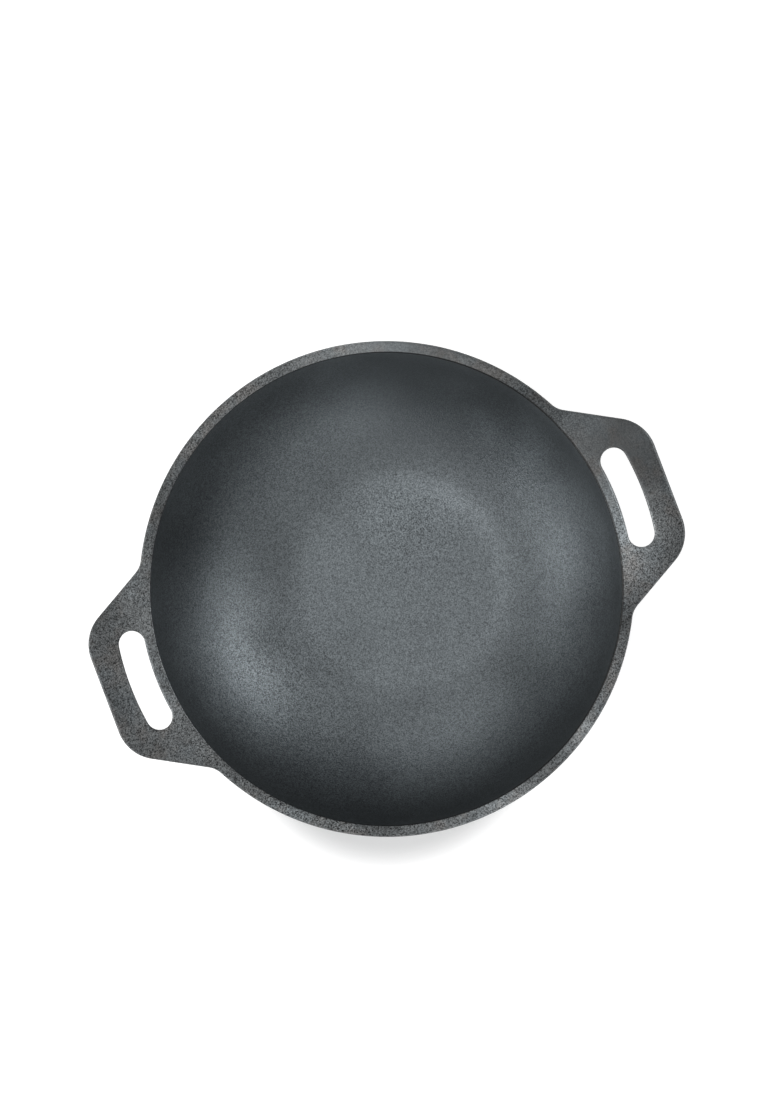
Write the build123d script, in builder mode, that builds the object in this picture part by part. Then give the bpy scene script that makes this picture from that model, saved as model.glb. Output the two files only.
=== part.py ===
from build123d import *
from math import asin, atan2, cos, degrees, hypot, pi, radians, sin, sqrt, tan
import os

# A round-bottomed cast-iron kadai with a slotted lug on each side.
#
# The real pan is one sand casting. It is modelled as that casting, with its rounded edges and root
# blends in place, and then parted into its natural regions, as the pieces of a foundry pattern are:
# the flat base, the curved wall, the rim band and the two lugs. They meet face to face.
#
# Frame: origin at the middle of the underside of the base, +Z up, +X out through the right lug.
# Lengths are in millimetres.

# Bowl
MOUTH_DIAMETER = 248.4  # across the inside of the rim, at the top
HEIGHT = 82.0  # top of the rim above the stove
WALL = 4.0  # thickness of the curved wall
FLOOR = 4.5  # thickness of the flat base
FLOOR_DIAMETER = 112.0  # where the flat floor and the curved wall would meet in a sharp corner
FOOT_ANGLE = 15.2  # slope at which the wall would rise from that corner, in degrees
FLOOR_BLEND = 40.0  # radius of the blend in that corner
BASE_BLEND = 8.0  # radius of the blend outside, between the base and the wall

# Rim band
RIM_OVERHANG = 3.05  # from the outside of the wall out to the outside of the rim
RIM_DEPTH = 6.0  # top to bottom, and also the thickness of the lugs
LIP_ROUND = 1.2  # radius of the rim's inner top edge
EDGE_ROUND = 1.5  # radius of the outer edges of the rim, the lugs and the slots
UNDER_BLEND = 1.5  # radius of the blend under the rim, where it leaves the wall

# Lugs
SLOT_WIDTH = 14.0  # radial width of the finger slot
SLOT_LENGTH = 54.5  # end to end of the finger slot
GRIP_WIDTH = 14.4  # radial width of the bar outside the slot
GRIP_LENGTH = 67.0  # straight outer edge of the bar, out to its sharp corners
GRIP_CORNER = 22.0  # radius that rounds those corners
ROOT_SPREAD = 113.2  # across the points where the two flanks reach the rim
ROOT_BLEND = 12.0  # radius between a flank and the rim

# Where the regions are parted
BASE_SEAM = 3.0  # from the edge of the flat floor in to the edge of the base
RIM_SEAM = 1.0  # from the blend under the rim down to the top of the wall
LUG_SEAM = 0.8  # from the outside of the rim out to the face of a lug

OVERRUN = 5.0  # by which a cutting shape passes what it cuts
LEDGE_SHARE = 0.9  # most of the flat ledge under the rim that the blend may take up

mouth_radius = MOUTH_DIAMETER / 2
floor_radius = FLOOR_DIAMETER / 2
rim_bottom = HEIGHT - RIM_DEPTH
plate_middle = HEIGHT - RIM_DEPTH / 2

# The inside of the wall is an arc that rises from the edge of the floor at the foot's angle and ends at
# the edge of the mouth. The outside is a wider arc about the same centre.
wall_chord = hypot(mouth_radius - floor_radius, HEIGHT - FLOOR)
chord_angle = atan2(HEIGHT - FLOOR, mouth_radius - floor_radius)
foot_angle = radians(FOOT_ANGLE)
inner_arc = wall_chord / 2 / sin(chord_angle - foot_angle)
outer_arc = inner_arc + WALL
centre_radius = floor_radius - inner_arc * sin(foot_angle)
centre_height = FLOOR + inner_arc * cos(foot_angle)


def wall_point(arc_radius, height):
    """Profile point, as radius and height, where an arc of the wall has that height."""
    return centre_radius + sqrt(arc_radius**2 - (height - centre_height) ** 2), height


def wall_middle(arc_radius, low, high):
    """Profile point of an arc of the wall, halfway along it between two heights."""
    low_angle = asin((low - centre_height) / arc_radius)
    high_angle = asin((high - centre_height) / arc_radius)
    middle = (low_angle + high_angle) / 2
    return centre_radius + arc_radius * cos(middle), centre_height + arc_radius * sin(middle)


wall_foot = wall_point(outer_arc, 0)
wall_top = wall_point(outer_arc, rim_bottom)
rim_radius = wall_top[0] + RIM_OVERHANG
# The blend in the floor touches the flat floor here.
flat_floor_radius = centre_radius + sqrt(
    (inner_arc - FLOOR_BLEND) ** 2 - (centre_height - FLOOR - FLOOR_BLEND) ** 2
)

# The blend under the rim fits the flat ledge that is left beside the rounded outer edge. It sits in the
# corner between that ledge and the wall.
under_corner = pi - atan2(wall_top[0] - centre_radius, centre_height - rim_bottom)
ledge_radius = rim_radius - EDGE_ROUND
ledge_width = ledge_radius - wall_top[0]
under_blend = min(UNDER_BLEND, LEDGE_SHARE * ledge_width * tan(under_corner / 2))

base_seam_radius = flat_floor_radius - BASE_SEAM
rim_seam_height = rim_bottom - under_blend / tan(under_corner / 2) - RIM_SEAM
lug_seam_radius = rim_radius + LUG_SEAM

# Plan of a lug. Its slot is concentric with the bowl, and the rim itself is the slot's inner side. Each
# flank runs on past the rim's edge by the overrun, so that the outlines cross.
slot_radius = rim_radius + SLOT_WIDTH / 2
slot_angle = degrees(asin((SLOT_LENGTH - SLOT_WIDTH) / 2 / slot_radius))
grip_edge = rim_radius + SLOT_WIDTH + GRIP_WIDTH
root = (sqrt(rim_radius**2 - (ROOT_SPREAD / 2) ** 2), ROOT_SPREAD / 2)
flank_angle = atan2(root[1] - GRIP_LENGTH / 2, grip_edge - root[0])
flank_end = (root[0] - OVERRUN * cos(flank_angle), root[1] + OVERRUN * sin(flank_angle))

os.makedirs("parts", exist_ok=True)

with BuildPart() as casting:
    # Plate that holds the top of the bowl and both lugs
    with BuildSketch(Plane.XY.offset(rim_bottom)) as plan:
        Circle(rim_radius)
        with PolarLocations(0, 2):
            Polygon(
                flank_end,
                (grip_edge, GRIP_LENGTH / 2),
                (grip_edge, -GRIP_LENGTH / 2),
                (flank_end[0], -flank_end[1]),
                align=None,
            )
        fillet(plan.vertices().filter_by_position(Axis.X, -rim_radius, rim_radius), ROOT_BLEND)
        columns = plan.vertices().group_by(Axis.X)
        fillet(columns[0] + columns[-1], GRIP_CORNER)
        with PolarLocations(0, 2):
            SlotArc(
                CenterArc((0, 0), slot_radius, -slot_angle, 2 * slot_angle),
                SLOT_WIDTH,
                mode=Mode.SUBTRACT,
            )
    extrude(amount=RIM_DEPTH)
    levels = casting.edges().group_by(Axis.Z)
    fillet(levels[0] + levels[-1], EDGE_ROUND)

    # Outside of the bowl, solid, with the ledge under the rim, up into the middle of the plate
    with BuildSketch(Plane.XZ) as outside:
        with BuildLine():
            Line((0, 0), wall_foot)
            ThreePointArc(wall_foot, wall_middle(outer_arc, 0, rim_bottom), wall_top)
            Polyline(
                wall_top,
                (ledge_radius, rim_bottom),
                (ledge_radius, plate_middle),
                (0, plate_middle),
                (0, 0),
            )
        make_face()
        fillet(outside.vertices().group_by(Axis.Y)[0].sort_by(Axis.X)[-1], BASE_BLEND)
        fillet(outside.vertices().group_by(Axis.Y)[-2].sort_by(Axis.X)[0], under_blend)
    revolve(axis=Axis.Z)

    # Inside of the bowl. It widens over the rim, so that its own corner there rounds the lip.
    with BuildSketch(Plane.XZ) as inside:
        floor_edge = (floor_radius, FLOOR)
        mouth = (mouth_radius, HEIGHT)
        with BuildLine():
            Line((0, FLOOR), floor_edge)
            ThreePointArc(floor_edge, wall_middle(inner_arc, FLOOR, HEIGHT), mouth)
            Polyline(
                mouth,
                (mouth_radius + OVERRUN, HEIGHT),
                (mouth_radius + OVERRUN, HEIGHT + OVERRUN),
                (0, HEIGHT + OVERRUN),
                (0, FLOOR),
            )
        make_face()
        fillet(inside.vertices().group_by(Axis.Y)[0].sort_by(Axis.X)[-1], FLOOR_BLEND)
        fillet(inside.vertices().group_by(Axis.Y)[-2].sort_by(Axis.X)[0], LIP_ROUND)
    revolve(axis=Axis.Z, mode=Mode.SUBTRACT)

# Flat disc that the pan stands on
with BuildPart() as base:
    add(casting.part)
    with BuildSketch():
        Circle(base_seam_radius)
    extrude(amount=HEIGHT, mode=Mode.INTERSECT)

# Curved wall, with the blends at its foot
with BuildPart() as bowl_wall:
    add(casting.part)
    with BuildSketch():
        Circle(rim_radius)
        Circle(base_seam_radius, mode=Mode.SUBTRACT)
    extrude(amount=rim_seam_height, mode=Mode.INTERSECT)

# Band round the mouth, with the blend under it and the toes of the lugs' root blends
with BuildPart() as rim_band:
    add(casting.part)
    with BuildSketch(Plane.XY.offset(rim_seam_height)):
        Circle(lug_seam_radius)
    extrude(amount=HEIGHT - rim_seam_height, mode=Mode.INTERSECT)

# Lug along +X
with BuildPart() as handle_right:
    add(casting.part)
    with BuildSketch():
        Circle(lug_seam_radius)
    extrude(amount=HEIGHT, mode=Mode.SUBTRACT)
    split(bisect_by=Plane.YZ, keep=Keep.TOP)

# Lug along -X
with BuildPart() as handle_left:
    add(casting.part)
    with BuildSketch():
        Circle(lug_seam_radius)
    extrude(amount=HEIGHT, mode=Mode.SUBTRACT)
    split(bisect_by=Plane.YZ, keep=Keep.BOTTOM)

base.part.label = "base"
bowl_wall.part.label = "bowl_wall"
rim_band.part.label = "rim_band"
handle_right.part.label = "handle_right"
handle_left.part.label = "handle_left"
for piece in (base, bowl_wall, rim_band, handle_right, handle_left):
    export_step(piece.part, "parts/" + piece.part.label + ".step")
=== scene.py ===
"""A cast-iron kadai: a round bowl with a flat floor, a thick rim band and two slotted lugs.

The real pan is one casting, so its five pieces here share one skin. Each piece is made of grids of
points worked out from the same profile of the bowl and the same plan of a lug. The same waves move them
all and the same grain shades them all, so that nothing shows where they meet. Lengths are in metres.
"""

import bmesh
import bpy
import numpy as np
from mathutils import Matrix, Vector


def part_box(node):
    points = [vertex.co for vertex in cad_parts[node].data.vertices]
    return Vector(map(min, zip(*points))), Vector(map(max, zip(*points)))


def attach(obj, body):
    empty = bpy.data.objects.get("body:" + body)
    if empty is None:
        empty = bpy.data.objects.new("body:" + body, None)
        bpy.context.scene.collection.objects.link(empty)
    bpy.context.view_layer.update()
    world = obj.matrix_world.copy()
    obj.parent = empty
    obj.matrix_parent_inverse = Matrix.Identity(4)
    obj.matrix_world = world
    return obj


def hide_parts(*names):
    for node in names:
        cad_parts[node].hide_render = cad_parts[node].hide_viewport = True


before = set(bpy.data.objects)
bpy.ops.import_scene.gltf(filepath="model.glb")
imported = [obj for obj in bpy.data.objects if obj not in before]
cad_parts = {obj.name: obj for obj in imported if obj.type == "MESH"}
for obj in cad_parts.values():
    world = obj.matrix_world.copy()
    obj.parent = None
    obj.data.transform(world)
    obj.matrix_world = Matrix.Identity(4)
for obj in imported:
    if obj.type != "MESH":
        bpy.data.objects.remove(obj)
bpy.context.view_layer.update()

MM = 0.001

# Sizes read from the frame
RIM_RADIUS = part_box("rim_band")[1].y
RIM_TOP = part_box("rim_band")[1].z
PLATE_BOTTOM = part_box("handle_right")[0].z
RIM_SEAM_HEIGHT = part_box("bowl_wall")[1].z
GRIP_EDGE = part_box("handle_right")[1].x
BASE_SEAM_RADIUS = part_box("base")[1].x
FLOOR_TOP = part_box("base")[1].z

# Bowl
MOUTH_RADIUS = 124.2 * MM  # inside of the rim, at the top
WALL = 4.0 * MM  # thickness of the curved wall
FLOOR_RADIUS = 56.0 * MM  # where the flat floor and the curved wall would meet
FOOT_ANGLE = np.radians(15.2)  # slope at which the wall would rise from there
FLOOR_BLEND = 40.0 * MM  # radius between floor and wall
BASE_BLEND = 8.0 * MM  # radius between the base and the wall, outside
LIP_ROUND = 1.2 * MM  # inner top edge of the rim
EDGE_ROUND = 1.5 * MM  # outer edges of the rim, the lugs and the slots
UNDER_BLEND = 1.5 * MM  # under the rim, where it leaves the wall

# Lugs
SLOT_WIDTH = 14.0 * MM
SLOT_LENGTH = 54.5 * MM
GRIP_LENGTH = 67.0 * MM  # straight outer edge, out to its sharp corners
GRIP_CORNER = 22.0 * MM  # radius that rounds those corners
ROOT_SPREAD = 113.2 * MM  # across the points where the flanks reach the rim
ROOT_BLEND = 12.0 * MM  # radius between a flank and the rim

# Spacing of the grids
TURN_STEP = np.radians(2 / 3)  # round the bowl
FLOOR_STEP = 2.0 * MM
WALL_STEP = 1.3 * MM
BLEND_STEP = 1.0 * MM
RIM_STEP = 0.7 * MM
EDGE_STEP = 0.4 * MM  # over the rounded edges
PATH_STEP = 0.05 * MM  # along the outline of a lug, before its stations are chosen
LEG_STATIONS = 16  # from the rim to beside the end of the slot
GRIP_STATIONS = 48  # from there to the middle of the grip
BEND_SHARE = 0.5  # of the grip's half over which its lines straighten
WELD = 0.001 * MM  # points nearer than this are one

# Waves that the mould left in the skin
WAVE_DEPTH = 0.14 * MM
WAVE_LENGTHS = (8 * MM, 45 * MM)
WAVE_COUNT = 28
WAVE_SEED = 11
FLAT_HEIGHT = 4.0 * MM  # the waves die away below this height, so that the base stands flat

# Grain of the skin, which only shades it: coarse and fine grains, and pinholes here and there
GRAIN_DEPTH = 0.12 * MM
COARSE_SIZE, COARSE_SHARE = 1.5 * MM, 0.13
FINE_SIZE, FINE_SHARE = 0.58 * MM, 0.87
SPECKLE_SPAN = (0.28, 0.72)  # heights of the grains at which the speckle is darkest and lightest
PINHOLE_SPACING = 2.6 * MM
PINHOLE_RIM = (0.10, 0.25)  # of the spacing, over which a pinhole rises from its bottom to the skin
PINHOLE_CLOUDS = 9 * MM  # size of the clouds that choose where pinholes are
PINHOLE_CHOICE = (0.54, 0.62)  # values of those clouds at which there are none and all
PINHOLE_DEPTH, PINHOLE_SHADE = 0.25, 0.2

# Seasoning inside the bowl and out
SEASONED_DARK = (0.108, 0.120, 0.128, 1.0)
SEASONED_LIGHT = (0.126, 0.141, 0.149, 1.0)
SEASONED_CLOUDS = 38 * MM
TONE_SPAN, ROUGH_SPAN = (0.35, 0.65), (0.3, 0.7)  # values of the clouds that bring out the extremes
SPECKLE_SHARE, CLOUD_SHARE = 0.4, 0.6  # of the tone between dark and light
SEASONED_CONTRAST = 0.8  # of the grain
SEASONED_ROUGHNESS = (0.42, 0.46)

# Drier skin of the rim and the lugs
RIM_GREY = (0.086, 0.091, 0.093, 1.0)
RIM_BROWN = (0.095, 0.091, 0.088, 1.0)
RIM_BLUE = (0.078, 0.087, 0.092, 1.0)
BROWN_CLOUDS, BLUE_CLOUDS, WORN_CLOUDS = 14 * MM, 20 * MM, 26 * MM
BROWN_SPAN, BLUE_SPAN, WORN_SPAN = (0.48, 0.62), (0.47, 0.62), (0.35, 0.65)
TINT_SHARE = 0.6  # of brown or blue, at most
WORN_LEVELS = (0.88, 1.12)
EDGE_LEVEL = 0.65  # level below the tops of the rounded edges: painted shade
EDGE_START = 0.1 * EDGE_ROUND  # depth below the top at which the edges begin to darken
RIM_CONTRAST = 1.6  # of the grain
RIM_ROUGHNESS = (0.42, 0.5)
METALLIC = 0.9

# Patches where a level of the skin rises, or falls where the change is below zero. Each has its azimuth
# in the picture in degrees, its distance from the axis and its reach in millimetres, and its change.
RIM_WEAR_AND_LIGHT_PATCHES = (
    # rim lighter: partly rubbed, partly painted reflection
    (14, 126, 38, 1.1),
    (98, 127, 56, 0.5),
    (300, 127, 24, 0.7),
    (326, 127, 30, 0.7),
    # rim darker: partly duller skin, partly painted shade
    (54, 127, 38, -0.4),
    (160, 128, 56, -0.4),
    (228, 127, 40, -0.3),
    (270, 127, 24, -0.35),
    (351, 128, 22, -0.35),
)
PAINTED_BOWL_LIGHT_PATCHES = (
    # painted highlight on the edge of the flat floor
    (42, 53, 17, 0.13),
    (60, 52, 17, 0.26),
    (80, 52, 17, 0.13),
    (98, 42, 26, 0.11),
    (160, 40, 20, 0.08),
    # painted shade outside it
    (125, 55, 20, -0.1),
    (165, 68, 34, -0.18),
    (202, 75, 20, -0.25),
    (232, 44, 26, -0.14),
    (326, 80, 24, -0.2),
    # painted highlights on the wall
    (12, 110, 34, 0.4),
    (28, 106, 20, 0.2),
    (44, 105, 18, 0.26),
    (60, 99, 16, 0.22),
    (102, 112, 38, 0.3),
    (200, 98, 20, 0.15),
    (213, 99, 26, 0.3),
    (226, 97, 22, 0.2),
    (272, 89, 26, 0.18),
    # painted shade high on the wall
    (60, 120, 24, -0.2),
    (168, 122, 36, -0.3),
)
GRAIN_PATCHES = (
    # smoother skin
    (85, 110, 80, -0.75),
    (32, 146, 56, -0.75),
    # coarser skin
    (80, 38, 46, 0.5),
    (215, 84, 60, 0.45),
    (250, 130, 80, 0.4),
)

# Painted shade below the rim, deepest on the side at this azimuth of the picture.
WALL_SHADE_AZIMUTH = np.radians(285)
WALL_SHADE_SHIFT = 10 * MM
WALL_SHADE_REACH = (112 * MM, 134 * MM)
WALL_SHADE_LOSS = 0.5  # of the level lost beyond it

# The lugs get darker out to their grips.
GRIP_DARKENING_REACH = (128 * MM, 156 * MM)
GRIP_DARKENING_LEVEL = 0.66  # at the grips

# Painted shade on the lip, reaching further over it on the side of the right lug.
LIP_AZIMUTH = np.radians(10)
LIP_SHIFT = 0.6 * MM
LIP_FADE = (-0.75 * LIP_ROUND, -0.4 * LIP_ROUND)  # from the centre of the lip's round, outwards
LIP_DEPTH = 1.5 * LIP_ROUND
LIP_COLOUR = (0.01, 0.01, 0.01, 1.0)
LIP_SHARE = 0.9  # of that colour, at most

# Floor, whose glow is weakest beside the base and towards the bottom of the picture, where the real shadow
# shows and a painted shadow deepens it
FLOOR_REACH = 3.0  # from the axis to each side
FLOOR_DROP = 0.1 * MM
FLOOR_COLOUR = (0.7, 0.7, 0.7, 1.0)
SHADOWED_COLOUR = (0.9, 0.9, 0.9, 1.0)  # of the floor that the camera sees
SHADOW_REACH = (40 * MM, 135 * MM)
BASE_GLOW, NEAR_GLOW, FAR_GLOW = 0.15, 0.58, 1.0  # beside the base, at the rim and far away
# a round patch of painted shadow on the floor, towards the bottom of the picture
PAINTED_SHADOW_AZIMUTH = np.radians(266)
PAINTED_SHADOW_SHIFT = 70 * MM
PAINTED_SHADOW_REACH = (67 * MM, 92 * MM)
FAR_REACH = (0.25, 0.8)

# Light: azimuth in the picture and elevation in degrees, width, height and watts of each lamp
WHITE = (1.0, 1.0, 1.0, 1.0)
WORLD_STRENGTH = 0.3
LAMP_DISTANCE = 2.2
LAMPS = {
    "left": (195, 10, 2.05, 0.9, 51),
    "right": (22, 16, 1.6, 1.1, 26),
    "front": (285, 10, 2.05, 0.9, 19),
    "back": (120, 22, 0.9, 0.9, 5.6),
    "overhead": (210, 65, 1.6, 1.6, 10.2),
}

# Where the rim stands in the photograph, in pixels
PHOTO_WIDTH, PHOTO_HEIGHT = 780, 1108
RIM_CENTRE = (385.7, 589.1)
MOUTH_PIXELS = 236.7  # radius of the mouth
HANDLE_TURN = np.radians(20.75)  # the right lug points this far above the picture's right
TILT = np.radians(4.5)  # of the camera from the vertical
TILT_TOWARDS = np.radians(-9.5)  # azimuth towards which it leans, from +X
CAMERA_DISTANCE = 5.0
SENSOR_HEIGHT = 36.0  # in millimetres, like the lens


# Profile of the bowl, as radius and height

# The wall's arc rises from the floor's edge at the foot's angle and ends at the mouth, so its radius is
# half the chord over the sine of the angle between chord and foot.
chord = np.array([MOUTH_RADIUS - FLOOR_RADIUS, RIM_TOP - FLOOR_TOP])
inner_arc = np.hypot(*chord) / 2 / np.sin(np.arctan2(chord[1], chord[0]) - FOOT_ANGLE)
outer_arc = inner_arc + WALL
foot_spoke = np.array([np.sin(FOOT_ANGLE), -np.cos(FOOT_ANGLE)])
arc_centre = np.array([FLOOR_RADIUS, FLOOR_TOP]) - inner_arc * foot_spoke


def at_height(reach, height):
    """Point of the profile at a height, whose distance from the centre of the wall's arcs is the reach:
    its radius is the centre's plus the root of the reach squared less the height difference squared."""
    return np.array([arc_centre[0] + np.sqrt(reach**2 - (height - arc_centre[1]) ** 2), height])


def on_arc(point, radius):
    """Point where the line from the centre of the wall's arcs through a point meets one of them."""
    way = point - arc_centre
    return arc_centre + way / np.hypot(*way) * radius


def line(start, end, step):
    """Points from start to end, evenly spaced near the step, each with the normal to the left of the
    way."""
    start, end = np.array(start, float), np.array(end, float)
    length = np.hypot(*(end - start))
    way = (end - start) / length
    count = int(np.ceil(length / step)) + 1
    points = start + np.linspace(0, 1, count)[:, None] * (end - start)
    return points, np.tile([-way[1], way[0]], (count, 1))


def arc(centre, start, end, step, hollow=False):
    """Points on the shorter arc about a centre from start to end, evenly spaced near the step. The
    normals point away from the centre, or towards it where the arc is hollow."""
    spoke, last = np.array(start) - centre, np.array(end) - centre
    first_angle = np.arctan2(spoke[1], spoke[0])
    turn = (np.arctan2(last[1], last[0]) - first_angle + np.pi) % (2 * np.pi) - np.pi
    radius = np.hypot(*spoke)
    count = int(np.ceil(abs(turn) * radius / step)) + 1
    angle = first_angle + np.linspace(0, 1, count) * turn
    away = np.stack([np.cos(angle), np.sin(angle)], axis=1)
    return centre + radius * away, -away if hollow else away


def joined(*stretches):
    """Several stretches as one, each starting where the one before ends."""
    points = [stretches[0][0]] + [points[1:] for points, _ in stretches[1:]]
    normals = [stretches[0][1]] + [normals[1:] for _, normals in stretches[1:]]
    return np.concatenate(points), np.concatenate(normals)


def side_by_side(*stretches):
    """Several stretches as one profile, with a straight step from each to the next."""
    return tuple(np.concatenate(arrays) for arrays in zip(*stretches))


flat_edge = RIM_RADIUS - EDGE_ROUND  # where the flat top and underside of the rim and lugs end
floor_blend_centre = at_height(inner_arc - FLOOR_BLEND, FLOOR_TOP + FLOOR_BLEND)
base_blend_centre = at_height(outer_arc - BASE_BLEND, BASE_BLEND)
lip_centre = at_height(inner_arc + LIP_ROUND, RIM_TOP - LIP_ROUND)
under_centre = at_height(outer_arc + UNDER_BLEND, PLATE_BOTTOM - UNDER_BLEND)
floor_edge = (floor_blend_centre[0], FLOOR_TOP)
base_edge = (base_blend_centre[0], 0)
inner_seam = at_height(inner_arc, RIM_SEAM_HEIGHT)
outer_seam = at_height(outer_arc, RIM_SEAM_HEIGHT)


def plate_edge(inset):
    """Rounded edge of the rim or a lug, from its flat top to its flat underside, outwards of a line that
    lies the edge's radius inside it."""
    top, bottom = RIM_TOP - EDGE_ROUND, PLATE_BOTTOM + EDGE_ROUND
    outside = inset + EDGE_ROUND
    return joined(
        arc((inset, top), (inset, RIM_TOP), (outside, top), EDGE_STEP),
        line((outside, top), (outside, bottom), RIM_STEP),
        arc((inset, bottom), (outside, bottom), (inset, PLATE_BOTTOM), EDGE_STEP),
    )


def base_profile():
    """From the axis out over the floor, down the seam and back to the axis under the base."""
    return side_by_side(
        line((0, FLOOR_TOP), (BASE_SEAM_RADIUS, FLOOR_TOP), FLOOR_STEP),
        line((BASE_SEAM_RADIUS, 0), (0, 0), FLOOR_STEP),
    )


def wall_profile():
    """From the floor up the inside of the wall, across the seam under the rim and down the outside."""
    blend_top = on_arc(floor_blend_centre, inner_arc)
    blend_foot = on_arc(base_blend_centre, outer_arc)
    inside = joined(
        line((BASE_SEAM_RADIUS, FLOOR_TOP), floor_edge, FLOOR_STEP),
        arc(floor_blend_centre, floor_edge, blend_top, BLEND_STEP, hollow=True),
        arc(arc_centre, blend_top, inner_seam, WALL_STEP, hollow=True),
    )
    outside = joined(
        arc(arc_centre, outer_seam, blend_foot, WALL_STEP),
        arc(base_blend_centre, blend_foot, base_edge, BLEND_STEP),
        line(base_edge, (BASE_SEAM_RADIUS, 0), FLOOR_STEP),
    )
    return side_by_side(inside, outside)


def rim_profile():
    """From the seam up the inside, over the lip, the flat top and the outer edge, back under the rim and
    down to the seam outside."""
    lip_foot = on_arc(lip_centre, inner_arc)
    under_foot = on_arc(under_centre, outer_arc)
    return joined(
        arc(arc_centre, inner_seam, lip_foot, RIM_STEP, hollow=True),
        arc(lip_centre, lip_foot, (lip_centre[0], RIM_TOP), EDGE_STEP),
        line((lip_centre[0], RIM_TOP), (flat_edge, RIM_TOP), RIM_STEP),
        plate_edge(flat_edge),
        line((flat_edge, PLATE_BOTTOM), (under_centre[0], PLATE_BOTTOM), RIM_STEP),
        arc(under_centre, (under_centre[0], PLATE_BOTTOM), under_foot, EDGE_STEP, hollow=True),
        arc(arc_centre, under_foot, outer_seam, RIM_STEP),
    )


# Plan of the lug along +X, above its middle line

slot_middle = RIM_RADIUS + SLOT_WIDTH / 2
slot_angle = np.arcsin((SLOT_LENGTH - SLOT_WIDTH) / 2 / slot_middle)
slot_end = slot_middle * np.array([np.cos(slot_angle), np.sin(slot_angle)])
slot_inset = SLOT_WIDTH / 2 + EDGE_ROUND  # from the middle of the slot's end to the flat top
grip_corner = np.array([GRIP_EDGE, GRIP_LENGTH / 2])
root = np.array([np.sqrt(RIM_RADIUS**2 - ROOT_SPREAD**2 / 4), ROOT_SPREAD / 2])
flank_way = (grip_corner - root) / np.hypot(*(grip_corner - root))
flank_normal = np.array([-flank_way[1], flank_way[0]])

# The root blend's centre is one radius off the flank and one radius off the rim, both outwards.
beside_root = root + ROOT_BLEND * flank_normal
along_flank = np.sqrt(
    (beside_root @ flank_way) ** 2 - beside_root @ beside_root + (RIM_RADIUS + ROOT_BLEND) ** 2
) - (beside_root @ flank_way)
root_centre = beside_root + along_flank * flank_way
root_angle = np.arctan2(root_centre[1], root_centre[0])

# The grip corner's centre is one radius inside the grip's straight edge and one inside the flank.
corner_x = GRIP_EDGE - GRIP_CORNER
corner_y = grip_corner[1] - (GRIP_CORNER - GRIP_CORNER * flank_normal[0]) / flank_normal[1]
corner_centre = np.array([corner_x, corner_y])

# Angles round the bowl. A row of points stands at each end of a lug's foot, on both sides of both lugs.
quarter = np.concatenate(
    [
        np.linspace(start, end, int(np.ceil((end - start) / TURN_STEP)), endpoint=False)
        for start, end in ((0, slot_angle), (slot_angle, root_angle), (root_angle, np.pi / 2))
    ]
)
half_turn = np.concatenate([quarter, [np.pi / 2], np.pi - quarter[:0:-1]])
turn_angles = np.concatenate([half_turn, half_turn + np.pi])
foot_angles = quarter[(quarter > slot_angle - TURN_STEP / 2) & (quarter < root_angle)]
foot_angles = np.append(foot_angles, root_angle)


def slot_outline():
    """Inner edge of a lug's flat top: round the end of the slot from the rim's side to the far side, and
    along the slot to the lug's middle line."""
    away = slot_end / np.hypot(*slot_end)
    beside = np.array([-away[1], away[0]])
    far_radius = slot_middle + slot_inset
    round_end = joined(
        arc(slot_end, slot_end - slot_inset * away, slot_end + slot_inset * beside, PATH_STEP, hollow=True),
        arc(slot_end, slot_end + slot_inset * beside, slot_end + slot_inset * away, PATH_STEP, hollow=True),
    )
    return joined(
        round_end, arc(np.zeros(2), far_radius * away, (far_radius, 0), PATH_STEP, hollow=True)
    )


def lug_outline():
    """Outer edge of a lug's flat top: round the root blend from the rim, down the flank, round the grip's
    corner and along its straight edge to the middle line."""
    root_radius = ROOT_BLEND + EDGE_ROUND
    corner_radius = GRIP_CORNER - EDGE_ROUND
    root_start = root_centre * (1 - root_radius / np.hypot(*root_centre))
    flank_start = root_centre - root_radius * flank_normal
    flank_end = corner_centre + corner_radius * flank_normal
    edge_start = corner_centre + (corner_radius, 0)
    edge_end = (edge_start[0], 0)
    return joined(
        arc(root_centre, root_start, flank_start, PATH_STEP, hollow=True),
        line(flank_start, flank_end, PATH_STEP),
        arc(corner_centre, flank_end, edge_start, PATH_STEP),
        line(edge_start, edge_end, PATH_STEP),
    )


def pick(path, measure, wanted):
    """Points and normals of a path where a measure that grows along it has the wanted values."""
    points, normals = (
        np.stack([np.interp(wanted, measure, values[:, k]) for k in (0, 1)], axis=1) for values in path
    )
    return points, normals / np.linalg.norm(normals, axis=1, keepdims=True)


def run_length(path):
    """Length along a path up to each of its points."""
    steps = np.linalg.norm(np.diff(path[0], axis=0), axis=1)
    return np.concatenate([[0], np.cumsum(steps)])


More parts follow.
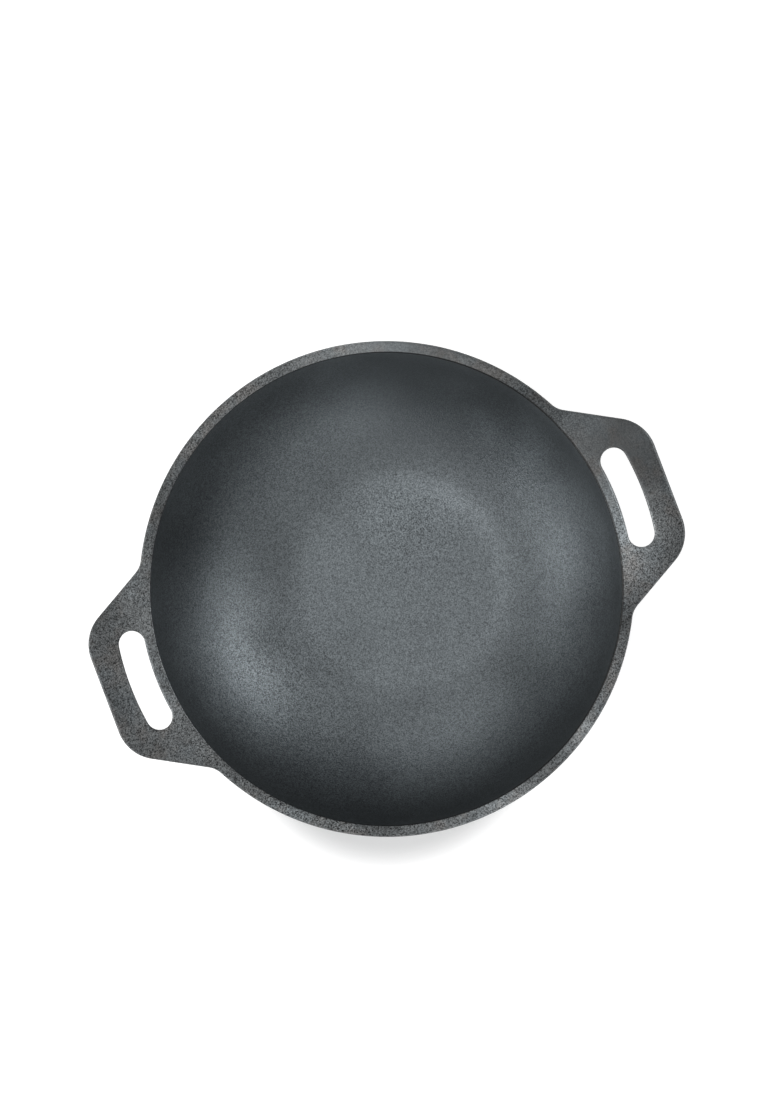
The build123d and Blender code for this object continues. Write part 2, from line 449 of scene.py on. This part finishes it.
def lug_stations():
    """Lines across the flat top of half a lug, from its foot on the rim to its middle line, and the edges
    at their two ends. In the leg each line is an arc about the bowl's axis. After that it joins equal
    shares of what is left of the two outlines, and the bend of the last arc dies away."""
    slot_path, lug_path = slot_outline(), lug_outline()
    slot_run, lug_run = run_length(slot_path), run_length(lug_path)
    across = np.linspace(0, 1, len(foot_angles))[:, None]

    leg_run = np.linspace(0, slot_inset * np.pi / 2, LEG_STATIONS)
    leg_inner, leg_inner_normals = pick(slot_path, slot_run, leg_run)
    reach = np.linalg.norm(leg_inner, axis=1)
    leg_outer, leg_outer_normals = pick(lug_path, np.linalg.norm(lug_path[0], axis=1), reach)
    inner_angle = np.arctan2(leg_inner[:, 1], leg_inner[:, 0])
    outer_angle = np.arctan2(leg_outer[:, 1], leg_outer[:, 0])
    angle = inner_angle + across * (outer_angle - inner_angle)
    leg = (reach * np.stack([np.cos(angle), np.sin(angle)])).transpose(2, 1, 0)

    share = np.linspace(0, 1, GRIP_STATIONS + 1)[1:]
    outer_start = np.interp(reach[-1], np.linalg.norm(lug_path[0], axis=1), lug_run)
    grip_inner, grip_inner_normals = pick(
        slot_path, slot_run, leg_run[-1] + share * (slot_run[-1] - leg_run[-1])
    )
    grip_outer, grip_outer_normals = pick(
        lug_path, lug_run, outer_start + share * (lug_run[-1] - outer_start)
    )
    chord = grip_outer - grip_inner
    forward = np.stack([chord[:, 1], -chord[:, 0]], axis=1)
    forward /= np.linalg.norm(forward, axis=1, keepdims=True)
    bend = np.linalg.norm(leg[-1] - (leg[-1][0] + across * (leg[-1][-1] - leg[-1][0])), axis=1)
    fading = np.clip(1 - share / BEND_SHARE, 0, 1) ** 2
    grip = (
        grip_inner[:, None]
        + across * chord[:, None]
        + fading[:, None, None] * bend[None, :, None] * forward[:, None]
    )
    return (
        np.concatenate([leg, grip]),
        (np.concatenate([leg_inner, grip_inner]), np.concatenate([leg_inner_normals, grip_inner_normals])),
        (np.concatenate([leg_outer, grip_outer]), np.concatenate([leg_outer_normals, grip_outer_normals])),
    )


# Grids of points and normals

def spin(profile):
    """Surface of revolution: a profile point of radius r and height z stands at r cos a, r sin a, z for
    each angle a round the bowl."""
    turn = np.stack([np.cos(turn_angles), np.sin(turn_angles)])
    return tuple(
        np.stack(
            [values[:, :1] * turn[0], values[:, :1] * turn[1], values[:, 1:] + 0 * turn[:1]], axis=2
        )
        for values in profile
    )


def flat_grid(lines, height, up):
    """Flat face of a lug through its station lines."""
    points = np.concatenate([lines, np.full(lines.shape[:2] + (1,), height)], axis=2)
    return points, np.zeros_like(points) + (0, 0, up)


def edge_grid(path):
    """Rounded edge of a lug along one of its outlines: the edge's profile stands on the outline's normal
    at each station."""
    (base, out), (profile, profile_normals) = path, plate_edge(0)
    points = base[:, None] + profile[None, :, :1] * out[:, None]
    normals = profile_normals[None, :, :1] * out[:, None]
    heights, rises = (
        np.broadcast_to(values[None, :, 1:], points.shape[:2] + (1,))
        for values in (profile, profile_normals)
    )
    return np.concatenate([points, heights], axis=2), np.concatenate([normals, rises], axis=2)


def lug_grids():
    """Closed skin of the lug along +X: a tube whose loops run over the flat top, down the outer edge,
    back under it and up the slot's edge, closed at each foot by the rounded edge of the rim."""
    lines, slot_side, outer_side = lug_stations()
    top, under = flat_grid(lines, RIM_TOP, 1), flat_grid(lines, PLATE_BOTTOM, -1)
    outer, inner = edge_grid(outer_side), edge_grid(slot_side)
    half = [
        np.concatenate([a, b[:, 1:], c[:, -2::-1], d[:, -2:0:-1]], axis=1)
        for a, b, c, d in zip(top, outer, under, inner)
    ]
    mirror = np.array([1, -1, 1])
    tube = tuple(np.concatenate([values, mirror * values[-2::-1]]) for values in half)

    directions = np.stack([np.cos(foot_angles), np.sin(foot_angles)], axis=1)
    foot = edge_grid((flat_edge * directions, directions))
    other_foot = tuple(mirror * values for values in foot)
    return tube, foot, other_foot


def grid_faces(rows, columns, wrap_rows, wrap_columns):
    """Corners of a grid's four-sided faces, as numbers of its points."""
    numbers = np.arange(rows * columns).reshape(rows, columns)
    if wrap_rows:
        numbers = np.concatenate([numbers, numbers[:1]])
    if wrap_columns:
        numbers = np.concatenate([numbers, numbers[:, :1]], axis=1)
    corners = (numbers[:-1, :-1], numbers[1:, :-1], numbers[1:, 1:], numbers[:-1, 1:])
    return np.stack([c.ravel() for c in corners], axis=1)


def waves(points):
    """Height of the waves, from 0 to 1, and its gradient: a sum of cosines along directions and with
    lengths and shifts drawn at random, each as tall as it is long."""
    rng = np.random.default_rng(WAVE_SEED)
    directions = rng.normal(size=(WAVE_COUNT, 3))
    directions /= np.linalg.norm(directions, axis=1, keepdims=True)
    lengths = rng.uniform(*WAVE_LENGTHS, WAVE_COUNT)
    shifts = rng.uniform(0, 2 * np.pi, WAVE_COUNT)
    rates = directions * (2 * np.pi / lengths)[:, None]
    share = lengths / lengths.sum() / 2
    phase = points @ rates.T + shifts
    return 0.5 + np.cos(phase) @ share, -np.sin(phase) @ (share[:, None] * rates)


def pressed_in(points, normals):
    """The skin after the waves have pressed it in, and its new normals: the old normal less the slope
    of the depth along the surface. Nothing moves out, so the size stays."""
    wave, slope = waves(points)
    rise = np.clip(points[:, 2] / FLAT_HEIGHT, 0, 1)
    fade = rise**2 * (3 - 2 * rise)
    fade_slope = np.zeros_like(points)
    fade_slope[:, 2] = 6 * rise * (1 - rise) / FLAT_HEIGHT
    depth = -WAVE_DEPTH * fade * wave
    gradient = -WAVE_DEPTH * (fade[:, None] * slope + wave[:, None] * fade_slope)
    along = gradient - np.sum(gradient * normals, axis=1, keepdims=True) * normals
    tilted = normals - along
    return points + depth[:, None] * normals, tilted / np.linalg.norm(tilted, axis=1, keepdims=True)


def skin(name, grids, wraps):
    """Mesh object of one or more grids whose shared points are one."""
    points = np.concatenate([p.reshape(-1, 3) for p, _ in grids])
    normals = np.concatenate([n.reshape(-1, 3) for _, n in grids])
    starts = np.cumsum([0] + [p.shape[0] * p.shape[1] for p, _ in grids])
    faces = np.concatenate(
        [grid_faces(*p.shape[:2], *wrap) + s for (p, _), wrap, s in zip(grids, wraps, starts)]
    )
    keys = np.round(points / WELD).astype(np.int64)
    _, first, number = np.unique(keys, axis=0, return_index=True, return_inverse=True)
    faces = number.ravel()[faces]
    points, normals = pressed_in(points[first], normals[first])

    mesh = bpy.data.meshes.new(name)
    mesh.from_pydata(points.tolist(), [], [list(dict.fromkeys(face)) for face in faces.tolist()])
    work = bmesh.new()
    work.from_mesh(mesh)
    bmesh.ops.recalc_face_normals(work, faces=work.faces)
    work.to_mesh(mesh)
    work.free()
    mesh.shade_smooth()
    mesh.normals_split_custom_set_from_vertices(normals.tolist())
    piece = bpy.data.objects.new(name, mesh)
    bpy.context.scene.collection.objects.link(piece)
    return piece


def half_turned(grids):
    """The same grids turned half a turn about the bowl's axis."""
    return [tuple(np.array([-1, -1, 1]) * values for values in grid) for grid in grids]


# Finishes

def node(tree, kind, inputs=None, **settings):
    """New node with its settings. An input takes a value or another node's output."""
    made = tree.nodes.new("ShaderNode" + kind)
    for name, value in settings.items():
        setattr(made, name, value)
    for name, value in (inputs or {}).items():
        if isinstance(value, bpy.types.NodeSocket):
            tree.links.new(value, made.inputs[name])
        else:
            made.inputs[name].default_value = value
    return made


def math(tree, operation, first, second=0.0):
    """Result of an operation on two values."""
    return node(tree, "Math", {0: first, 1: second}, operation=operation).outputs[0]


def spread(tree, value, low, high, new_low=0.0, new_high=1.0, smooth=True):
    """A value between two limits brought to between two new ones, and held there outside them."""
    inputs = {"Value": value, "From Min": low, "From Max": high, "To Min": new_low, "To Max": new_high}
    kind = "SMOOTHSTEP" if smooth else "LINEAR"
    return node(tree, "MapRange", inputs, interpolation_type=kind).outputs["Result"]


def blended(tree, share, first, second, way="MIX"):
    """Two colours mixed by a share of the second."""
    mix = node(tree, "Mix", data_type="RGBA", blend_type=way)
    for number, value in ((0, share), (6, first), (7, second)):
        if isinstance(value, bpy.types.NodeSocket):
            tree.links.new(value, mix.inputs[number])
        else:
            mix.inputs[number].default_value = value
    return mix.outputs[2]


def noise(tree, place, size, detail=2.0, roughness=0.5, offset=0.0):
    """Cloudy pattern whose features are about the given size, from 0 to 1."""
    inputs = {"Vector": place, "W": offset, "Scale": 1 / size, "Detail": detail, "Roughness": roughness}
    return node(tree, "TexNoise", inputs, noise_dimensions="4D").outputs["Fac"]


def new_group(name, ins, outs):
    """Empty node group with named inputs and outputs, and its two end nodes."""
    tree = bpy.data.node_groups.new(name, "ShaderNodeTree")
    for label, value in ins:
        kind = "NodeSocketFloat" if isinstance(value, float) else "NodeSocketColor"
        tree.interface.new_socket(label, in_out="INPUT", socket_type=kind).default_value = value
    for label, kind in outs:
        tree.interface.new_socket(label, in_out="OUTPUT", socket_type="NodeSocket" + kind)
    return tree, tree.nodes.new("NodeGroupInput"), tree.nodes.new("NodeGroupOutput")


def from_picture(azimuth):
    """Azimuth from +X of a direction given from the picture's right."""
    return azimuth - HANDLE_TURN


def object_place(tree):
    """Place in the frame that all pieces share, in metres."""
    return node(tree, "TexCoord").outputs["Object"]


def flat_place(tree):
    """Place as seen from above, without its height."""
    parts = node(tree, "SeparateXYZ", {"Vector": object_place(tree)}).outputs
    return node(tree, "CombineXYZ", {"X": parts["X"], "Y": parts["Y"]}).outputs[0]


def distance_from(tree, place, azimuth, distance):
    """Distance of a flat place from the point at an azimuth of the picture and a distance from the
    axis."""
    turn = from_picture(azimuth)
    middle = (distance * np.cos(turn), distance * np.sin(turn), 0)
    return node(tree, "VectorMath", {0: place, 1: middle}, operation="DISTANCE").outputs["Value"]


def sand_grain(patches):
    """Skin that the sand mould leaves: fine and coarse grains, and scattered pinholes. Its height and its
    speckle go from about 0 to about 1. The relief is the speckle less its middle, times the strength
    that the patches give the grain."""
    outs = [("Height", "Float"), ("Speckle", "Float"), ("Relief", "Float")]
    tree, _, end = new_group("sand_grain", [], outs)
    place = object_place(tree)
    coarse = noise(tree, place, COARSE_SIZE, detail=1.0, roughness=0.6)
    fine = noise(tree, place, FINE_SIZE, detail=0.0, offset=3.0)
    cells = node(tree, "TexVoronoi", {"Vector": place, "Scale": 1 / PINHOLE_SPACING}, feature="F1")
    hole = spread(tree, cells.outputs["Distance"], *PINHOLE_RIM, 1.0, 0.0)
    clouds = noise(tree, place, PINHOLE_CLOUDS, detail=1.0, offset=7.0)
    pinholes = math(tree, "MULTIPLY", hole, spread(tree, clouds, *PINHOLE_CHOICE))
    grains = math(
        tree,
        "ADD",
        math(tree, "MULTIPLY", coarse, COARSE_SHARE),
        math(tree, "MULTIPLY", fine, FINE_SHARE),
    )
    height = math(tree, "SUBTRACT", grains, math(tree, "MULTIPLY", pinholes, PINHOLE_DEPTH))
    tree.links.new(height, end.inputs["Height"])
    speckle = spread(tree, grains, *SPECKLE_SPAN, smooth=False)
    speckle = math(tree, "SUBTRACT", speckle, math(tree, "MULTIPLY", pinholes, PINHOLE_SHADE))
    tree.links.new(speckle, end.inputs["Speckle"])
    strength = node(tree, "Group", node_tree=patches).outputs["Level"]
    relief = math(tree, "MULTIPLY", math(tree, "SUBTRACT", speckle, 0.5), strength)
    tree.links.new(relief, end.inputs["Relief"])
    return tree


def grey(tree, level):
    """Grey of a level."""
    return node(tree, "CombineColor", {"Red": level, "Green": level, "Blue": level}).outputs[0]


def patched_level(name, patches):
    """Level of 1, and more or less towards the middle of each patch, as seen from above. The patches are
    rows of degrees, millimetres, millimetres and change."""
    tree, _, end = new_group(name, [], [("Level", "Float")])
    place = flat_place(tree)
    level = 1.0
    for azimuth, distance, reach, change in patches:
        away = distance_from(tree, place, np.radians(azimuth), distance * MM)
        level = math(tree, "ADD", level, spread(tree, away, 0.0, reach * MM, change, 0.0))
    tree.links.new(level, end.inputs["Level"])
    return tree


def seasoned_skin(grain, patches):
    """Thin black seasoning: bluish dark iron, a little lighter on the tips of the grains and in soft
    clouds, with painted highlights and shade in patches, and painted shade below the rim."""
    ins = [("Dark", SEASONED_DARK), ("Light", SEASONED_LIGHT)]
    outs = [("Color", "Color"), ("Roughness", "Float"), ("Height", "Float")]
    tree, start, end = new_group("seasoned_skin", ins, outs)
    place = object_place(tree)
    speck = node(tree, "Group", node_tree=grain)
    clouds = noise(tree, place, SEASONED_CLOUDS, detail=3.0, roughness=0.55, offset=1.0)
    tone = math(
        tree,
        "ADD",
        math(tree, "MULTIPLY", speck.outputs["Speckle"], SPECKLE_SHARE),
        math(tree, "MULTIPLY", spread(tree, clouds, *TONE_SPAN), CLOUD_SHARE),
    )
    colour = blended(tree, tone, start.outputs["Dark"], start.outputs["Light"])
    level = math(tree, "ADD", 1.0, math(tree, "MULTIPLY", speck.outputs["Relief"], SEASONED_CONTRAST))
    # painted shade below the rim, deepest on one side
    away = distance_from(tree, flat_place(tree), WALL_SHADE_AZIMUTH + np.pi, WALL_SHADE_SHIFT)
    painted_wall_shade = spread(tree, away, *WALL_SHADE_REACH, 1.0, 1.0 - WALL_SHADE_LOSS)
    level = math(tree, "MULTIPLY", level, painted_wall_shade)
    # painted highlights and painted shade in patches on the floor and the wall
    level = math(tree, "MULTIPLY", level, node(tree, "Group", node_tree=patches).outputs["Level"])
    tree.links.new(blended(tree, 1.0, colour, grey(tree, level), "MULTIPLY"), end.inputs["Color"])
    tree.links.new(spread(tree, clouds, *ROUGH_SPAN, *SEASONED_ROUGHNESS), end.inputs["Roughness"])
    tree.links.new(speck.outputs["Height"], end.inputs["Height"])
    return tree


def rim_skin(grain, patches):
    """Rim and lugs, where the skin is drier and rubbed in places: neutral iron with faint brownish and
    bluish clouds and a stronger speckle, lighter and darker in patches that are partly wear and partly
    painted reflection and shade, with painted shade over the rounded edges, and darker out on the grips."""
    ins = [("Iron", RIM_GREY), ("Brown", RIM_BROWN), ("Blue", RIM_BLUE)]
    outs = [("Color", "Color"), ("Roughness", "Float"), ("Height", "Float")]
    tree, start, end = new_group("rim_skin", ins, outs)
    place = object_place(tree)
    speck = node(tree, "Group", node_tree=grain)
    iron_grey, iron_brown, iron_blue = (start.outputs[name] for name in ("Iron", "Brown", "Blue"))
    brown = noise(tree, place, BROWN_CLOUDS, detail=3.0, roughness=0.6, offset=5.0)
    brown = spread(tree, brown, *BROWN_SPAN)
    blue = noise(tree, place, BLUE_CLOUDS, detail=3.0, roughness=0.6, offset=9.0)
    blue = spread(tree, blue, *BLUE_SPAN)
    cloudy = blended(tree, math(tree, "MULTIPLY", brown, TINT_SHARE), iron_grey, iron_brown)
    cloudy = blended(tree, math(tree, "MULTIPLY", blue, TINT_SHARE), cloudy, iron_blue)
    worn_and_lit = spread(tree, noise(tree, place, WORN_CLOUDS, offset=13.0), *WORN_SPAN, *WORN_LEVELS)
    # patches on the rim and lugs: partly wear, partly painted reflection and painted shade
    worn_and_lit = math(tree, "MULTIPLY", worn_and_lit, node(tree, "Group", node_tree=patches).outputs["Level"])
    height = node(tree, "SeparateXYZ", {"Vector": place}).outputs["Z"]
    # painted shade over the rounded edges and under them
    edge = spread(tree, height, RIM_TOP - EDGE_ROUND, RIM_TOP - EDGE_START, EDGE_LEVEL, 1.0)
    level = math(tree, "ADD", 1.0, math(tree, "MULTIPLY", speck.outputs["Relief"], RIM_CONTRAST))
    # colour darker out to the grips
    grip_darkening = spread(tree, distance_from(tree, flat_place(tree), 0, 0), *GRIP_DARKENING_REACH, 1.0, GRIP_DARKENING_LEVEL)
    level = math(tree, "MULTIPLY", math(tree, "MULTIPLY", worn_and_lit, edge), level)
    level = math(tree, "MULTIPLY", level, grip_darkening)
    tree.links.new(blended(tree, 1.0, cloudy, grey(tree, level), "MULTIPLY"), end.inputs["Color"])
    tree.links.new(spread(tree, brown, 0.0, 1.0, *RIM_ROUGHNESS), end.inputs["Roughness"])
    tree.links.new(speck.outputs["Height"], end.inputs["Height"])
    return tree


def above_lip():
    """Where the rim's finish begins: 0 inside the bowl and on its outside, 1 on the flat top of the rim
    and on the lugs. The lip's shade is 1 on the rounded lip, where shade is painted."""
    tree, _, end = new_group("above_lip", [], [("Mask", "Float"), ("Lip", "Float")])
    height = node(tree, "SeparateXYZ", {"Vector": object_place(tree)}).outputs["Z"]
    flat = flat_place(tree)
    beyond = spread(tree, distance_from(tree, flat, 0, 0), flat_edge - UNDER_BLEND, flat_edge)
    top = spread(tree, height, RIM_TOP - LIP_ROUND, RIM_TOP - LIP_ROUND / 2)
    tree.links.new(math(tree, "MAXIMUM", beyond, top), end.inputs["Mask"])
    away = distance_from(tree, flat, LIP_AZIMUTH, LIP_SHIFT)
    inside = spread(tree, away, lip_centre[0] + LIP_FADE[0], lip_centre[0] + LIP_FADE[1], 1.0, 0.0)
    above = spread(tree, height, RIM_TOP - LIP_DEPTH, RIM_TOP - LIP_ROUND)
    tree.links.new(math(tree, "MULTIPLY", inside, above), end.inputs["Lip"])
    return tree


def iron(name, skin_group, other_group=None, mask_group=None):
    """Material of one skin, or of two parted by a mask, with painted shade on the lip between them."""
    material = bpy.data.materials.new(name)
    material.use_nodes = True
    tree = material.node_tree
    shader = tree.nodes["Principled BSDF"]
    first = node(tree, "Group", node_tree=skin_group).outputs
    colour, rough, height = first["Color"], first["Roughness"], first["Height"]
    if other_group:
        second = node(tree, "Group", node_tree=other_group).outputs
        masks = node(tree, "Group", node_tree=mask_group).outputs
        mask = masks["Mask"]
        colour = blended(tree, mask, colour, second["Color"])
        # the lip painted near black: painted shade
        colour = blended(tree, math(tree, "MULTIPLY", masks["Lip"], LIP_SHARE), colour, LIP_COLOUR)
        rough = node(tree, "Mix", {0: mask, 2: rough, 3: second["Roughness"]}).outputs[0]
    tree.links.new(colour, shader.inputs["Base Color"])
    tree.links.new(rough, shader.inputs["Roughness"])
    relief = node(tree, "Bump", {"Strength": 1.0, "Distance": GRAIN_DEPTH, "Height": height})
    tree.links.new(relief.outputs["Normal"], shader.inputs["Normal"])
    shader.inputs["Metallic"].default_value = METALLIC
    return material


grain = sand_grain(patched_level("grain_patches", GRAIN_PATCHES))
inside_skin = seasoned_skin(grain, patched_level("painted_bowl_light_patches", PAINTED_BOWL_LIGHT_PATCHES))
outside_skin = rim_skin(grain, patched_level("rim_wear_and_light_patches", RIM_WEAR_AND_LIGHT_PATCHES))
seasoned = iron("seasoned_iron", inside_skin)
rim_iron = iron("rim_iron", inside_skin, outside_skin, above_lip())


# Pieces

grids = lug_grids()
lug_wraps = [(False, True), (False, False), (False, False)]
pieces = [
    (skin("pan_base", [spin(base_profile())], [(False, True)]), "base", "seasoned_inside"),
    (skin("pan_wall", [spin(wall_profile())], [(True, True)]), "bowl_wall", "seasoned_inside"),
    (skin("pan_rim", [spin(rim_profile())], [(True, True)]), "rim_band", "cast_rim"),
    (skin("right_lug", grids, lug_wraps), "handle_right", "cast_rim"),
    (skin("left_lug", half_turned(grids), lug_wraps), "handle_left", "cast_rim"),
]
finishes = {"seasoned_inside": seasoned, "cast_rim": rim_iron}
for piece, cad_node, slot in pieces:
    piece.data.materials.append(finishes[slot])
    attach(piece, "root")
    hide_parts(cad_node)


# Floor, world, lamps and camera

def shown_white(tree, plain, white):
    """Shader that is plain for the light it sends to the pan, and white where the camera, gloss or glass
    sees it."""
    rays = node(tree, "LightPath").outputs
    seen = math(tree, "MAXIMUM", rays["Is Camera Ray"], rays["Is Glossy Ray"])
    seen = math(tree, "MAXIMUM", seen, rays["Is Transmission Ray"])
    return node(tree, "MixShader", {0: seen, 1: plain, 2: white}).outputs[0]


def floor_glow(tree):
    """Strength of the floor's glow: low beside the base and lower still in a round patch towards the
    bottom of the picture, where it paints shadow over the real one, and rising to white far away."""
    flat = flat_place(tree)
    away = distance_from(tree, flat, 0, 0)
    # weaker glow beside the base: the real shadow, deepened by painted shadow
    near = spread(tree, away, *SHADOW_REACH, BASE_GLOW, NEAR_GLOW)
    cast = distance_from(tree, flat, PAINTED_SHADOW_AZIMUTH, PAINTED_SHADOW_SHIFT)
    # no glow in the round patch: painted shadow
    near = math(tree, "MINIMUM", near, spread(tree, cast, *PAINTED_SHADOW_REACH, 0.0, NEAR_GLOW))
    return math(tree, "ADD", near, spread(tree, away, *FAR_REACH, 0.0, FAR_GLOW - NEAR_GLOW))


def pale_floor():
    """Plain pale floor, a hair below the base. The camera sees it glow, so that it is white apart from
    the pan's shadow, which the weaker glow near the pan deepens into a painted shadow, and runs into
    the white background. From below it is clear."""
    mesh = bpy.data.meshes.new("floor")
    signs = ((-1, -1), (1, -1), (1, 1), (-1, 1))
    corners = [(x * FLOOR_REACH, y * FLOOR_REACH, -FLOOR_DROP) for x, y in signs]
    mesh.from_pydata(corners, [], [(0, 1, 2, 3)])
    floor = bpy.data.objects.new("floor", mesh)
    bpy.context.scene.collection.objects.link(floor)
    material = bpy.data.materials.new("pale_floor")
    material.use_nodes = True
    tree = material.node_tree
    tree.nodes.remove(tree.nodes["Principled BSDF"])
    plain = node(tree, "BsdfDiffuse", {"Color": FLOOR_COLOUR}).outputs[0]
    shadowed = node(tree, "BsdfDiffuse", {"Color": SHADOWED_COLOUR}).outputs[0]
    glow = node(tree, "Emission", {"Strength": floor_glow(tree)}).outputs[0]
    white = node(tree, "AddShader", {0: shadowed, 1: glow}).outputs[0]
    above = shown_white(tree, plain, white)
    below = node(tree, "BsdfTransparent").outputs[0]
    back = node(tree, "NewGeometry").outputs["Backfacing"]
    surface = node(tree, "MixShader", {0: back, 1: above, 2: below}).outputs[0]
    tree.links.new(surface, tree.nodes["Material Output"].inputs["Surface"])
    mesh.materials.append(material)


def white_world(strength):
    """Even light from all round, at a strength. The camera and the gloss see it white."""
    world = bpy.data.worlds.new("studio")
    bpy.context.scene.world = world
    world.use_nodes = True
    tree = world.node_tree
    tree.nodes.remove(tree.nodes["Background"])
    plain = node(tree, "Background", {"Color": WHITE, "Strength": strength}).outputs[0]
    white = node(tree, "Background", {"Color": WHITE, "Strength": 1.0}).outputs[0]
    tree.links.new(shown_white(tree, plain, white), tree.nodes["World Output"].inputs["Surface"])


def soft_box(name, azimuth, elevation, width, height, watts):
    """Rectangular lamp that faces the mouth of the bowl, at an azimuth of the picture and an elevation in
    degrees."""
    lamp = bpy.data.lights.new(name, "AREA")
    lamp.shape = "RECTANGLE"
    lamp.size, lamp.size_y, lamp.energy = width, height, watts
    turn, lift = from_picture(np.radians(azimuth)), np.radians(elevation)
    away = Vector((np.cos(lift) * np.cos(turn), np.cos(lift) * np.sin(turn), np.sin(lift)))
    holder = bpy.data.objects.new(name, lamp)
    holder.location = Vector((0, 0, RIM_TOP)) + LAMP_DISTANCE * away
    holder.rotation_euler = away.to_track_quat("Z", "Y").to_euler()
    bpy.context.scene.collection.objects.link(holder)


def photo_camera():
    """Camera above the pan that leans a little towards the right lug, turned and aimed so that the rim
    stands where it does in the photograph."""
    right = Vector((np.cos(HANDLE_TURN), -np.sin(HANDLE_TURN), 0))
    lean = np.sin(TILT) * np.array([np.cos(TILT_TOWARDS), np.sin(TILT_TOWARDS)])
    back = Vector((*lean, np.cos(TILT)))
    right = (right - right.dot(back) * back).normalized()
    up = back.cross(right)
    pixel = MOUTH_RADIUS / MOUTH_PIXELS
    target = Vector((0, 0, RIM_TOP))
    target += (PHOTO_WIDTH / 2 - RIM_CENTRE[0]) * pixel * right
    target += (RIM_CENTRE[1] - PHOTO_HEIGHT / 2) * pixel * up
    lens = bpy.data.cameras.new("photo_camera")
    lens.sensor_fit = "VERTICAL"
    lens.sensor_height = SENSOR_HEIGHT
    lens.lens = SENSOR_HEIGHT * CAMERA_DISTANCE / (PHOTO_HEIGHT * pixel)
    camera = bpy.data.objects.new("photo_camera", lens)
    pose = Matrix((right, up, back)).transposed().to_4x4()
    pose.translation = target + CAMERA_DISTANCE * back
    camera.matrix_world = pose
    bpy.context.scene.collection.objects.link(camera)
    bpy.context.scene.camera = camera


pale_floor()
white_world(WORLD_STRENGTH)
for name, settings in LAMPS.items():
    soft_box(name, *settings)
photo_camera()
bpy.context.scene.view_settings.view_transform = "Standard"
